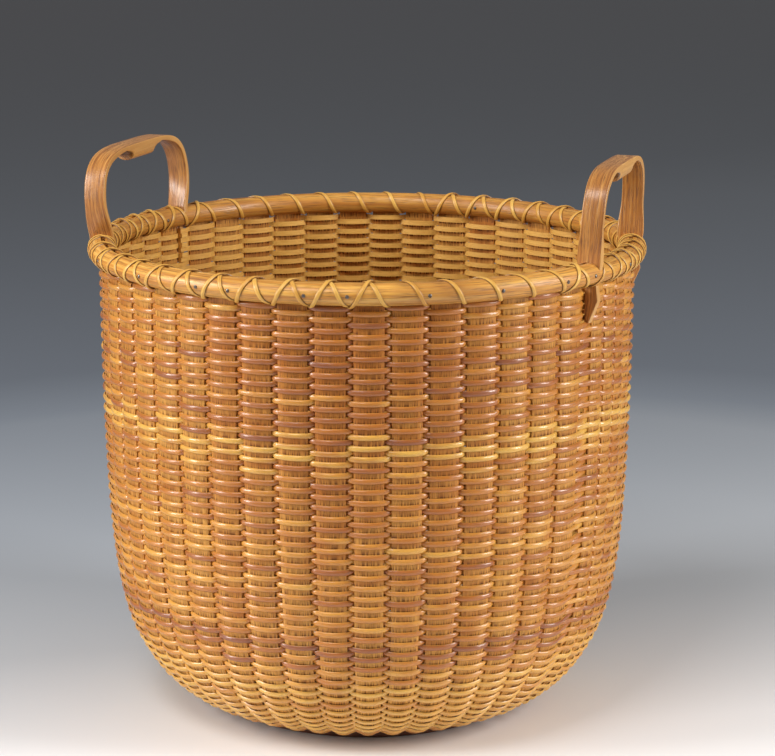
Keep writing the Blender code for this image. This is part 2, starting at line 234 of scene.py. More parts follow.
# The cane is spliced from lengths that pass this many staves and whose tones
# differ
tone_seed = 11
least_splice_staves = 9
most_splice_staves = 95
splice_tone_change = 0.14
splice_tone_wander = 0.08
splice_height_share = 0.012

# Camera, as far from the basket's middle and as high as the photographer's
camera_bearing = math.radians(18.95)
camera_distance = 1.5204
camera_height = 0.547
camera_tilt = math.radians(12.97)
camera_lens = 118.67
camera_sensor = 36.0
camera_shift = 0.0265

# Softboxes: place to the right of, towards the camera from and above the
# basket's middle, width, height, power and colour
softboxes = (
    ("softbox_left", (-1.45, 0.45, 0.78), 0.45, 1.1, 25.0, (1.0, 0.98, 0.95)),
    ("softbox_right", (1.45, 0.45, 0.78), 0.45, 1.1, 23.5, (1.0, 0.98, 0.95)),
    ("softbox_front", (-0.45, 0.72, 1.40), 0.6, 0.5, 8.5, (1.0, 0.99, 0.97)),
)
softbox_target_height = 0.17
room_light = (0.70, 0.66, 0.61)
room_strength = 0.31
room_seen = (0.095, 0.095, 0.10)

# Floor with painted light: it darkens away from the camera and away from the basket all round, as a painted
# pool of light round the basket, and is a little paler to the right
floor_radius = 14.0
floor_corners = 96
floor_near = -0.25
floor_far = 6.0
floor_painted_pool_start = 0.36
floor_painted_pool_end = 0.95
floor_painted_pool_share = 0.6
floor_painted_slant = 0.105
floor_roughness = 0.55
floor_painted_light_colours = (
    (0.10, (0.93, 0.94, 0.96)),
    (0.155, (0.88, 0.89, 0.92)),
    (0.242, (0.50, 0.53, 0.575)),
    (0.329, (0.370, 0.405, 0.460)),
    (0.444, (0.245, 0.282, 0.345)),
    (0.60, (0.175, 0.205, 0.258)),
    (1.0, (0.178, 0.200, 0.256)),
)

# Places that follow from the sizes above
stave_radius = inner_hoop_outside + clearance + stave_thickness / 2
cane_offset = (stave_thickness + cane_thickness) / 2 + cane_rest
outer_hoop_inside = outer_hoop_outside - outer_hoop_thickness
inner_hoop_inside = inner_hoop_outside - inner_hoop_thickness
hoop_height = hoop_top - hoop_underside
hoop_middle = (hoop_top + hoop_underside) / 2
groove_height = base_thickness / 2
weave_top = hoop_underside - weave_top_gap
right_rise = right_high.z - hoop_top - clearance
left_rise = left_high.z - hoop_top - clearance
tail_bottom = hoop_underside - tail_length
tail_inner_face = stave_radius - stave_thickness / 2 - cane_thickness
stave_count = front_staves + back_staves + 2 * handle_staves


# Places and lines


def around(angle, radius, height, sideways=0.0):
    """The point at a radius and height, moved sideways along the rim."""
    x = radius * math.cos(angle) - sideways * math.sin(angle)
    y = radius * math.sin(angle) + sideways * math.cos(angle)
    return Vector((x, y, height))


def direction(angle, outward, upward):
    """A direction with outward and upward parts at an angle round the basket."""
    return Vector((outward * math.cos(angle), outward * math.sin(angle), upward))


def smooth_share(value):
    """Eases a share in and out between 0 and 1."""
    value = min(max(value, 0.0), 1.0)
    return value * value * (3 - 2 * value)


def lengths_along(points):
    """How far along a line each of its points lies."""
    lengths = [0.0]
    for before, after in zip(points, points[1:]):
        lengths.append(lengths[-1] + (after - before).length)
    return lengths


def runs_along(points):
    """The direction of a line at each point, from the one before to the next."""
    ends = [points[0], *points, points[-1]]
    return [(after - before).normalized() for before, after in zip(ends, ends[2:])]


# Mesh work that every piece shares


def select_only(piece):
    bpy.ops.object.select_all(action="DESELECT")
    piece.select_set(True)
    bpy.context.view_layer.objects.active = piece


def add_piece(name, points, faces=(), edges=()):
    mesh = bpy.data.meshes.new(name)
    mesh.from_pydata(points, edges, faces)
    piece = bpy.data.objects.new(name, mesh)
    bpy.context.scene.collection.objects.link(piece)
    return piece


def sweep(name, rings):
    """Joins like rings of points in order and closes both ends."""
    size = len(rings[0])
    points = [point for ring in rings for point in ring]
    faces = []
    for number in range(len(rings) - 1):
        low = number * size
        high = low + size
        for corner in range(size):
            after = (corner + 1) % size
            faces.append((low + corner, low + after, high + after, high + corner))
    last = len(points) - size
    faces.append(tuple(reversed(range(size))))
    faces.append(tuple(range(last, last + size)))
    return add_piece(name, points, faces)


def strip_section(centre, across, out, width, thickness, shares):
    """One ring of a cane, whose section is given as shares."""
    return [centre + across * share * width / 2 + out * level * thickness
            for share, level in shares]


def mark(piece, name, values):
    """Keeps a number for each point, which a material reads."""
    layer = piece.data.attributes.new(name, "FLOAT", "POINT")
    layer.data.foreach_set("value", values)


def mark_rings(piece, name, values):
    """Keeps a number for each ring of a swept piece."""
    size = len(piece.data.vertices) // len(values)
    mark(piece, name, [value for value in values for corner in range(size)])


def spin_round(steps):
    """Spins an outline, open in edit mode, round the basket's middle."""
    bpy.ops.mesh.select_all(action="SELECT")
    bpy.ops.mesh.spin(steps=steps, angle=math.tau, center=(0.0, 0.0, 0.0), axis=(0.0, 0.0, 1.0))
    bpy.ops.mesh.select_all(action="SELECT")
    bpy.ops.mesh.remove_doubles(threshold=merge_distance)
    bpy.ops.object.mode_set(mode="OBJECT")


def pick_points(piece, wanted):
    """Selects, in edit mode, the points that a test picks, and no others."""
    shape = bmesh.from_edit_mesh(piece.data)
    for point in shape.verts:
        point.select_set(wanted(point.co))
    shape.select_flush_mode()
    bmesh.update_edit_mesh(piece.data)


def face_outwards(piece):
    select_only(piece)
    bpy.ops.object.mode_set(mode="EDIT")
    bpy.ops.mesh.select_all(action="SELECT")
    bpy.ops.mesh.normals_make_consistent(inside=False)
    bpy.ops.object.mode_set(mode="OBJECT")


def dress(piece, material, slot, *nodes):
    """Gives a finished piece its material and its body, and hides the nodes it stands for."""
    face_outwards(piece)
    bpy.ops.object.shade_smooth_by_angle(angle=smooth_bend)
    piece.data.materials.clear()
    piece.data.materials.append(material)
    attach(piece, "root")
    if nodes:
        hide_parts(*nodes)


# The wall's middle line


def smooth_line(corners):
    """A curve through all corners, as bezier stretches with even handles."""
    slopes = runs_along(corners)
    line = [corners[0]]
    for index in range(len(corners) - 1):
        start, end = corners[index], corners[index + 1]
        reach = (end - start).length / 3
        first = start + slopes[index] * reach
        second = end - slopes[index + 1] * reach
        line += geometry.interpolate_bezier(start, first, second, end, wall_steps + 1)[1:]
    return line


def wall_corners():
    out = stave_radius - base_radius
    up = weave_top - groove_height
    corners = [Vector((base_radius + out * far, groove_height + up * high))
               for far, high in wall_outline_shares]
    corners[0].x = base_radius + weave_start_gap
    return corners


class Wall:
    """The staves' middle line, measured along its length."""

    def __init__(self):
        self.points = [point.to_2d() for point in smooth_line(wall_corners())]
        self.lengths = lengths_along(self.points)
        self.slopes = runs_along(self.points)
        self.length = self.lengths[-1]

    def at(self, length):
        """Radius and height, and the slope of the wall, at a length up it."""
        index = 0
        while index < len(self.lengths) - 2 and self.lengths[index + 1] < length:
            index += 1
        span = self.lengths[index + 1] - self.lengths[index]
        share = (length - self.lengths[index]) / span
        point = self.points[index].lerp(self.points[index + 1], share)
        slope = self.slopes[index].lerp(self.slopes[index + 1], share)
        return point, slope.normalized()


wall = Wall()


# Places round the rim


def foot_angle(half_span):
    """Angle between a handle's middle and the middle of each of its feet."""
    return math.asin(half_span / stave_radius)


def arcs():
    """First angle, width and stave count of the stretches between the feet."""
    right = foot_angle(right_half_span)
    left = foot_angle(left_half_span)
    starts = (
        right_turn - right,
        right_turn + right,
        math.pi + left_turn - left,
        math.pi + left_turn + left,
        math.tau + right_turn - right,
    )
    counts = (handle_staves, back_staves, handle_staves, front_staves)
    return [(start, end - start, count) for start, end, count in zip(starts, starts[1:], counts)]


def stave_places():
    """Middle angle and pitch of each stave, round from the first foot."""
    near = (handle_thickness / 2 + slot_web + 2 * clearance) / stave_radius
    far = (handle_thickness / 2 + lashing_width + foot_slack + 2 * clearance) / stave_radius
    gap = stave_gap / stave_radius
    places = []
    for start, span, count in arcs():
        pitch = (span - near - far + gap) / count
        first = start + near + (pitch - gap) / 2
        places += [(first + number * pitch, pitch) for number in range(count)]
    return places


def gap_middles(places):
    """Middle angle of the gap before each stave."""
    middles = []
    for index, (angle, pitch) in enumerate(places):
        last_angle, last_pitch = places[index - 1]
        turn = math.tau if index == 0 else 0.0
        behind = last_angle - turn + last_pitch / 2
        middles.append((behind + angle - pitch / 2) / 2)
    return middles


def foot_gaps():
    """The number of the stave after each foot, and that foot's angle."""
    found = {}
    number = 0
    for start, span, count in arcs():
        found[number] = start
        number += count
    return found


places = stave_places()
gaps = gap_middles(places)
feet = foot_gaps()
stave_chance = random.Random(stave_seed)
stave_reds = [stave_chance.uniform(-red_spread, red_spread) for place in places]


def stave_half_width(pitch, radius):
    return (pitch * radius - stave_gap) / 2


def rim_angle(bearing):
    """Angle round the basket of a bearing from the point nearest the camera."""
    return bearing + camera_bearing - math.pi / 2


def redness(number, share):
    """How much redder the varnish is at a stave and a share of the height."""
    bearing = places[number][0] - rim_angle(red_bearing)
    bearing = (bearing + math.pi) % math.tau - math.pi
    sideways = smooth_share(1 - abs(bearing) / red_reach)
    upwards = smooth_share((share - red_low_share) / (1 - red_low_share))
    pale = pale_foot * smooth_share(1 - share / pale_foot_share)
    return sideways * upwards - pale + stave_reds[number]


# Staves


def stave_stations():
    """Length up the wall, middle point and slope, from the groove to the top."""
    foot = base_radius - base_groove_depth + 2 * clearance
    top = hoop_top - stave_top_recess
    steps = [wall.length * step / stave_steps for step in range(stave_steps + 1)]
    return [
        (foot - base_radius, Vector((foot, groove_height)), Vector((1.0, 0.0))),
        *[(length, *wall.at(length)) for length in steps],
        (wall.length + top - weave_top, Vector((stave_radius, top)), Vector((0.0, 1.0))),
    ]


def crown_at(point):
    """The crown of a stave fades towards the hoops and the base."""
    clear = min(hoop_underside - point.y, point.x - base_radius) / stave_crown_fade
    return stave_crown_at_hoops + (stave_crown - stave_crown_at_hoops) * smooth_share(clear)


def stave_ring(angle, point, normal, side):
    """Once round a stave: each face from edge to edge, crowned outwards."""
    crown = crown_at(point)
    flat = side - stave_edge_round
    ring = []
    for level in (1, -1):
        face = point + normal * level * stave_thickness / 2
        edge = point + normal * level * (stave_thickness / 2 - stave_edge_round)
        raised = [(side * share, face + normal * crown * (1 - share * share))
                  for share in stave_crown_shares]
        row = [(-side, edge), (-flat, face), *raised, (flat, face), (side, edge)]
        ring += [around(angle, spot.x, spot.y, level * sideways) for sideways, spot in row]
    return ring


def row_share(number, length):
    """How many rows that pass outside a stave lie below a length up it."""
    rows = (length - first_row) / row_pitch - number / stave_count
    return (rows - number % 2) / 2


def make_stave(number, material):
    """A flat strip from the base's groove, up the wall to between the hoops."""
    angle, pitch = places[number]
    stations = stave_stations()
    rings = []
    for length, point, slope in stations:
        side = stave_half_width(pitch, max(point.x, base_radius))
        rings.append(stave_ring(angle, point, Vector((slope.y, -slope.x)), side))
    piece = sweep(f"upright_{number + 1:02d}", rings)
    mark_rings(piece, "red", [redness(number, point.y / weave_top) for length, point, slope in stations])
    mark_rings(piece, "rows", [row_share(number, length) for length, point, slope in stations])
    dress(piece, material, "stave_wood", f"stave_{number + 1:02d}")


# Weave


def row_length(number):
    """How far up the wall the cane has come at a crossing."""
    return first_row + row_pitch * number / stave_count


def tone_at(share):
    """The tone of the cane at a share of the wall's height."""
    for end, tone in cane_tone_shares:
        if share <= end:
            return tone
    return cane_tone_shares[-1][1]


def cane_tones(count):
    """A tone for each crossing. The cane is spliced from lengths that differ."""
    chance = random.Random(tone_seed)
    tones = []
    left = 0
    for number in range(count):
        if left == 0:
            left = chance.randint(least_splice_staves, most_splice_staves)
            change = chance.gauss(0.0, splice_tone_change)
            early = chance.uniform(-splice_height_share, splice_height_share)
        left -= 1
        point, slope = wall.at(row_length(number))
        share = point.y / weave_top
        tone = tone_at(share + early) + change + chance.gauss(0.0, splice_tone_wander)
        tone += redness(number % stave_count, share) * cane_red_share * (tone > cane_pale_tone)
        tones.append(min(max(tone, 0.0), 1.0))
    return tones


def crossing_places(number):
    """Where the cane's middle runs past one stave, from the gap before it on:
    angle, sideways place, how far outside the staves' middle, share of width."""
    index = number % stave_count
    angle, pitch = places[index]
    point, slope = wall.at(row_length(number))
    half = stave_half_width(pitch, point.x)
    side = 1 if number % 2 == 0 else -1
    rest = side * cane_offset
    bow = side * (cane_offset + cane_bow)
    bend = rest * edge_bend_share
    quarter = rest + (bow - rest) * bow_quarter_share
    if index in feet and point.y > tail_bottom:
        turn = (handle_thickness / 2 + clearance) / stave_radius
        behind = tail_inner_face - clearance - cane_thickness / 2 - stave_radius
        behind -= tail_row_step * (number % 2)
        spots = [(feet[index] - turn, 0.0, behind, tail_width_share),
                 (feet[index] + turn, 0.0, behind, tail_width_share)]
    else:
        spots = [(gaps[index], 0.0, point.x / math.cos(pitch / 2) - point.x, gap_width_share)]
    past = (
        (-half - edge_lead, bend), (-half + edge_tuck, rest), (-half / 2, quarter), (0.0, bow),
        (half / 2, quarter), (half - edge_tuck, rest), (half + edge_lead, bend),
    )
    return spots + [(angle, sideways, offset, 1.0) for sideways, offset in past]


def cane_sections(first, last, tones):
    """Centre, bearing, slope of the wall, width, tone and redness of each section."""
    chance = random.Random(first + weave_seed)
    sections = []
    for number in range(first, last):
        wander = chance.gauss(0.0, row_wander)
        width = cane_width * (1 + chance.uniform(-1, 1) * width_wander_share)
        point, slope = wall.at(row_length(number) + wander)
        red = redness(number % stave_count, point.y / weave_top)
        normal = Vector((slope.y, -slope.x))
        for bearing, sideways, offset, width_share in crossing_places(number):
            spot = point + normal * offset
            centre = around(bearing, spot.x, spot.y, sideways)
            sections.append((centre, bearing, slope, width * width_share, tones[number], red))
    return sections


def make_cane(name, first, last, tones):
    """One stretch of the long cane, woven past the staves from first to last."""
    centres, bearings, slopes, widths, cane_tone, reds = zip(*cane_sections(first, last, tones))
    rings = []
    for centre, run, bearing, slope, width in zip(centres, runs_along(centres), bearings, slopes, widths):
        across = direction(bearing, slope.x, slope.y)
        across = (across - run * across.dot(run)).normalized()
        out = run.cross(across)
        rings.append(strip_section(centre, across, out, width, cane_thickness, cane_section_shares))
    piece = sweep(name, rings)
    mark_rings(piece, "along", lengths_along(centres))
    mark_rings(piece, "tone", cane_tone)
    mark_rings(piece, "red", reds)
    flat = [1.0 if level == flat_level else 0.0 for share, level in cane_section_shares]
    mark(piece, "flat_side", flat * len(rings))
    return piece


def make_weave(material):
    """The whole cane, in four stretches. Its top row goes up under the hoops."""
    count = int((wall.length + weave_top_reach - first_row) / row_pitch) * stave_count
    tones = cane_tones(count)
    names = ("cane_bottom", "cane_lower", "cane_middle", "cane_upper")
    for index, name in enumerate(names):
        first = count * index // len(names)
        last = count * (index + 1) // len(names)
        piece = make_cane(name, first, last, tones)
        dress(piece, material, "cane", "cane_weave")


# Hoops


def make_hoop(name, node, flat, thickness, outward, material):
    """A half-round hoop: a circle with one side pressed flat, spun round."""
    bpy.ops.object.select_all(action="DESELECT")
    bpy.ops.mesh.primitive_circle_add(
        vertices=hoop_section_points,
        radius=hoop_height / 2,
        location=(flat, 0.0, hoop_middle),
        rotation=(math.pi / 2, 0.0, 0.0),
    )
    piece = bpy.context.object
    piece.name = name
    bpy.ops.object.transform_apply(location=True, rotation=True, scale=True)
    bpy.ops.object.mode_set(mode="EDIT")
    for side, value in ((-outward, 0.0), (outward, thickness / (hoop_height / 2))):
        pick_points(piece, lambda place: (place.x - flat) * side > merge_distance)
        bpy.ops.transform.resize(value=(value, 1.0, 1.0), center_override=(flat, 0.0, hoop_middle))
    spin_round(hoop_spin_steps)
    dress(piece, material, "rim_wood", node)


def make_hoops(material):
    outer = (outer_hoop_inside, outer_hoop_thickness, 1)
    inner = (inner_hoop_outside, inner_hoop_thickness, -1)
    make_hoop("hoop_outside", "rim_hoop_outer", *outer, material)
    make_hoop("hoop_inside", "rim_hoop_inner", *inner, material)


# Lashing


def half_round(flat, thickness, outward):
    """Points and outward directions over a hoop's round side, bottom to top."""
    spots = []
    for step in range(lashing_steps):
        turn = math.pi * (step / (lashing_steps - 1) - 0.5)
        out = math.cos(turn) * outward
        up = math.sin(turn)
        radius = flat + out * (thickness + lashing_lift)
        height = hoop_middle + up * (hoop_height / 2 + lashing_lift)
        normal = Vector((out / thickness, up / (hoop_height / 2))).normalized()
        spots.append((Vector((radius, height)), normal))
    return spots


def rim_outline():
    """Once round both hoops, from under the inner one to under the outer, as
    points with their outward directions and shares of the way."""
    inner = half_round(inner_hoop_outside, inner_hoop_thickness, -1)
    outer = half_round(outer_hoop_inside, outer_hoop_thickness, 1)
    outline = inner + outer[::-1]
    lengths = lengths_along([point for point, normal in outline])
    return [(point, normal, length / lengths[-1])
            for (point, normal), length in zip(outline, lengths)]


def lashing_passes():
    """Angles where strands pass through the wall: each gap's middle, but
    beside the foot where a handle's foot fills the gap."""
    beside = (handle_thickness + lashing_width) / 2 + clearance
    passes = list(gaps)
    for number, foot in feet.items():
        passes[number] = foot - beside / stave_radius
    return passes


def crossing_lift(share):
    """A strand that crosses another rides over it under the hoops and on top
    of them, and lies on the hoops between."""
    near = min(share, 1 - share, abs(share - 0.5))
    return (lashing_thickness + lashing_lift) * (1 - smooth_share(near / lashing_ramp_share))


def make_strand(name, node, passes, crosses, material):
    """A crowned cane wound once round the hoops between each two passes."""
    outline = rim_outline()
    centres = []
    outs = []
    for start, end in zip(passes, passes[1:]):
        for point, normal, share in outline:
            angle = start + (end - start) * share
            spot = point + normal * crossing_lift(share) if crosses else point
            centres.append(around(angle, spot.x, spot.y))
            outs.append(direction(angle, normal.x, normal.y))
    rings = []
    for centre, run, out in zip(centres, runs_along(centres), outs):
        across = run.cross(out).normalized()
        out = across.cross(run)
        rings.append(strip_section(centre, across, out, lashing_width, lashing_thickness,
                                   lashing_section_shares))
    piece = sweep(name, rings)
    mark_rings(piece, "along", lengths_along(centres))
    mark(piece, "across", [share for share, level in lashing_section_shares] * len(rings))
    dress(piece, material, "lashing_cane", node)


def make_lashings(material):
    """A strand all the way round, and one that crosses it at each handle."""
    once = lashing_passes()
    passes = [angle + turn for turn in (-math.tau, 0.0, math.tau) for angle in once]
    round_once = passes[stave_count:2 * stave_count + 1]
    round_once[-1] -= 2 * lashing_width / stave_radius
    make_strand("lashing_round", "rim_lashing", round_once, False, material)
    right_foot = stave_count
    left_foot = right_foot + handle_staves + back_staves
    for side, foot, beyond in (("right", right_foot, back_crossed_staves),
                               ("left", left_foot, front_crossed_staves)):
        first = foot - lead_crossed_staves
        last = foot + handle_staves + beyond
        crossed = passes[first:last + 1][::-1]
        make_strand(f"lashing_over_{side}", f"cross_lashing_{side}", crossed, True, material)


# Handles


def loop_point(turn, half_width, bulge, rise):
    """Sideways place and height above the rim at an angle round the loop,
    which bulges outwards between its feet and its shoulders."""
    power = 2 / loop_squareness
    sideways = math.copysign(abs(math.cos(turn)) ** power, math.cos(turn))
    height = math.sin(turn) ** power
    swell = bulge * math.sin(math.pi / 2 * min(height / loop_widest_share, 1.0))
    return (half_width + swell) * sideways, (rise - handle_thickness / 2) * height


def grip_turns(half_width):
    """Angles round the loop of the rings along the grip and its scooped ends."""
    flat_end = grip_half_length - grip_scoop_length
    spots = [flat_end * share for share in grip_middle_shares]
    for step in range(grip_end_steps + 1):
        lean = math.pi / 2 * step / grip_end_steps
        spots.append(flat_end + grip_scoop_length * (1 - math.cos(lean)))
    return [math.acos((spot / half_width) ** (loop_squareness / 2)) for spot in spots]


def scoop_share(sideways):
    """How far a place lies in from the grip's end, in lengths of its scoop."""
    return (grip_half_length - abs(sideways)) / grip_scoop_length


def grip_below(sideways):
    """Depth of the strip's underside: full under the grip, whose ends are
    scooped out, and a little thinner where the scoops run out."""
    share = scoop_share(sideways)
    within = min(max(share, 0.0), 1.0)
    block = grip_depth * (1 - math.sqrt(1 - within * within))
    scoop = grip_scoop * max(0.0, 1 - abs(share))
    return handle_thickness / 2 + block - scoop


def scoop_painted_shade(sideways):
    """How much painted shade the underside gets: all over a scooped end but for its borders."""
    inside = 0.5 - abs(scoop_share(sideways) - 0.5)
    return grip_painted_shade * smooth_share(inside / grip_painted_shade_border)


def strip_ring(centre, across, out, half_width, below):
    """Rectangle with rounded corners, square to the strip. The corners are
    rounder under the grip."""
    ring = []
    for side, face in ((-1, -1), (1, -1), (1, 1), (-1, 1)):
        depth = handle_thickness / 2 if face > 0 else below
        block = max(depth - handle_thickness / 2, 0.0)
        wide_curve = handle_edge_round + block * grip_wide_share
        tall_curve = handle_edge_round + block * grip_tall_share
        corner = []
        for step in range(corner_steps):
            lean = math.pi / 2 * step / (corner_steps - 1)
            wide = half_width - wide_curve * (1 - math.cos(lean))
            tall = depth - tall_curve * (1 - math.sin(lean))
            corner.append(centre + across * side * wide + out * face * tall)
        ring += corner if side == face else corner[::-1]
    return ring


def loop_rings(foot, rise, bulge, foot_width):
    """The loop between the feet, and how much painted shade each ring's underside gets. Its strip lies
    square to the rim's radius at the feet and square to the handle's own plane higher up, and leans out."""
    radius = outer_hoop_outside - foot_width / 2
    plane = radius * math.cos(foot)
    half_width = radius * math.sin(foot)
    half = [math.pi / 2 * (step / loop_steps) ** loop_crowding for step in range(loop_steps)]
    half = sorted(half + grip_turns(half_width + bulge))
    turns = half + [math.pi / 2] + [math.pi - turn for turn in reversed(half)]
    points = [loop_point(turn, half_width, bulge, rise) for turn in turns]
    centres = [Vector((plane + handle_lean * height / rise, sideways, hoop_top + clearance + height))
               for sideways, height in points]
    runs = runs_along(centres)
    runs[0] = Vector((0.0, 0.0, 1.0))
    runs[-1] = Vector((0.0, 0.0, -1.0))
    rings = []
    for centre, run, (sideways, height) in zip(centres, runs, points):
        settled = smooth_share(height / handle_twist_height)
        lean = math.copysign(foot * (1 - settled), sideways)
        across = Vector((math.cos(lean), math.sin(lean), 0.0))
        out = run.cross(across).normalized()
        width = foot_width + (handle_width - foot_width) * settled
        rings.append(strip_ring(centre, across, out, width / 2, grip_below(sideways)))
    return rings, [scoop_painted_shade(sideways) for sideways, height in points]


def tail_rings(angle, tail_width, rising):
    """One foot, from its tip in the weave to where it spreads over the hoops.
    Between them it is as thin as the staves' gap."""
    inner = tail_inner_face
    between = (inner_hoop_outside + clearance, outer_hoop_inside - clearance)
    spread = (inner_hoop_inside + foot_sink_inset, outer_hoop_outside - foot_sink_inset)
    stations = [
        (tail_bottom, inner, inner + tail_tip_width),
        (hoop_underside - tail_straight_length, inner, inner + tail_width),
        (hoop_underside - clearance, inner, inner + tail_width - tail_flare),
        (hoop_underside - clearance / 2, *between),
        (hoop_top - foot_sink - clearance / 2, *between),
        (hoop_top - foot_sink, *spread),
    ]
    across = direction(angle, 1.0, 0.0)
    out = Vector((-math.sin(angle), math.cos(angle), 0.0)) * (1 if rising else -1)
    rings = []
    for height, near, far in stations:
        centre = around(angle, (near + far) / 2, height)
        rings.append(strip_ring(centre, across, out, (far - near) / 2, handle_thickness / 2))
    return rings if rising else rings[::-1]


def places_across(ring):
    """How far each point of a ring lies to one side of the strip's middle."""
    middle = sum(ring, Vector()) / len(ring)
    axis = (ring[len(ring) // 4] - ring[0]).normalized()
    return [(point - middle).dot(axis) for point in ring]


def make_handle(name, node, turn, shape, material):
    """A handle from tip to tip, turned to its place on the rim."""
    half_span, rise, bulge, foot_width, tail_width = shape
    foot = foot_angle(half_span)
    tail = tail_rings(foot, tail_width, True)
    loop, loop_painted_shades = loop_rings(foot, rise, bulge, foot_width)
    rings = tail + loop + tail_rings(-foot, tail_width, False)
    painted_shades = [0.0] * len(tail) + loop_painted_shades + [0.0] * len(tail)
    spin = Matrix.Rotation(turn, 3, "Z")
    piece = sweep(name, [[spin @ point for point in ring] for ring in rings])
    mark_rings(piece, "along", lengths_along([ring[0] for ring in rings]))
    mark(piece, "across", [place for ring in rings for place in places_across(ring)])
    half_corner = corner_steps // 2
    sidewards = [1.0 if step <= half_corner else 0.0 for step in range(corner_steps)]
    mark(piece, "edge", (sidewards + sidewards[::-1]) * 2 * len(rings))
    # The undersides of the scooped ends carry painted shade, kept in the scoop attribute
    underside = range(half_corner, 2 * corner_steps - half_corner)
    mark(piece, "scoop", [painted_shade if corner in underside else 0.0
                          for painted_shade in painted_shades for corner in range(len(rings[0]))])
    dress(piece, material, "handle_wood", node)


def make_handles(material):
    right = (right_half_span, right_rise, right_bulge, right_foot_width, right_tail_width)
    left = (left_half_span, left_rise, left_bulge, left_foot_width, left_tail_width)
    make_handle("loop_right", "handle_right", right_turn, right, material)
    make_handle("loop_left", "handle_left", math.pi + left_turn, left, material)


# Base


def make_base(material):
    """A turned disc with a groove in its edge, spun from its outline."""
    half_groove = stave_thickness / 2 + clearance
    groove_floor = base_radius - base_groove_depth
    shoulder = base_radius - base_edge_round
    leans = [math.pi / 2 * step / base_edge_steps for step in range(base_edge_steps + 1)]
    top_edge = [(shoulder + base_edge_round * math.sin(lean),
                 base_thickness - base_edge_round * (1 - math.cos(lean))) for lean in leans]
    upper_half = [
        (0.0, base_thickness),
        *top_edge,
        (base_radius, groove_height + half_groove),
        (groove_floor, groove_height + half_groove),
    ]
    lower_half = [(radius, base_thickness - height) for radius, height in reversed(upper_half)]
    outline = upper_half + lower_half
    edges = [(index, index + 1) for index in range(len(outline) - 1)]
    piece = add_piece("turned_base", [(radius, 0.0, height) for radius, height in outline], edges=edges)
    select_only(piece)
    bpy.ops.object.mode_set(mode="EDIT")
    spin_round(base_spin_steps)
    dress(piece, material, "base_wood", "base_plate")


# Nails


def make_nail(name, angle, radius, outward, material):
    """A small domed head, half sunk in the hoop."""
    bpy.ops.object.select_all(action="DESELECT")
    bpy.ops.mesh.primitive_uv_sphere_add(
        segments=nail_segments,
        ring_count=nail_rings,
        radius=nail_head_radius,
        location=around(angle, radius, hoop_middle),
        rotation=(0.0, outward * math.pi / 2, angle),
        scale=(1.0, 1.0, nail_head_height / nail_head_radius),
    )
    piece = bpy.context.object
    piece.name = name
    bpy.ops.object.transform_apply(location=True, rotation=True, scale=True)
    dress(piece, material, "rim_wood")


def make_nails(material):
    """Nails where they are seen, and evenly spaced round the back."""
    outer_bearings = list(outer_nail_bearings)
    unseen = outer_nail_bearings[-1] + unseen_nail_spacing
    while unseen < 360 + outer_nail_bearings[0] - unseen_nail_spacing / 2:
        outer_bearings.append(unseen)
        unseen += unseen_nail_spacing
    for side, bearings, radius, outward in (("outside", outer_bearings, outer_hoop_outside, 1),
                                            ("inside", inner_nail_bearings, inner_hoop_inside, -1)):
        for number, bearing in enumerate(bearings):
            angle = rim_angle(math.radians(bearing))
            make_nail(f"nail_{side}_{number + 1:02d}", angle, radius, outward, material)


# Materials


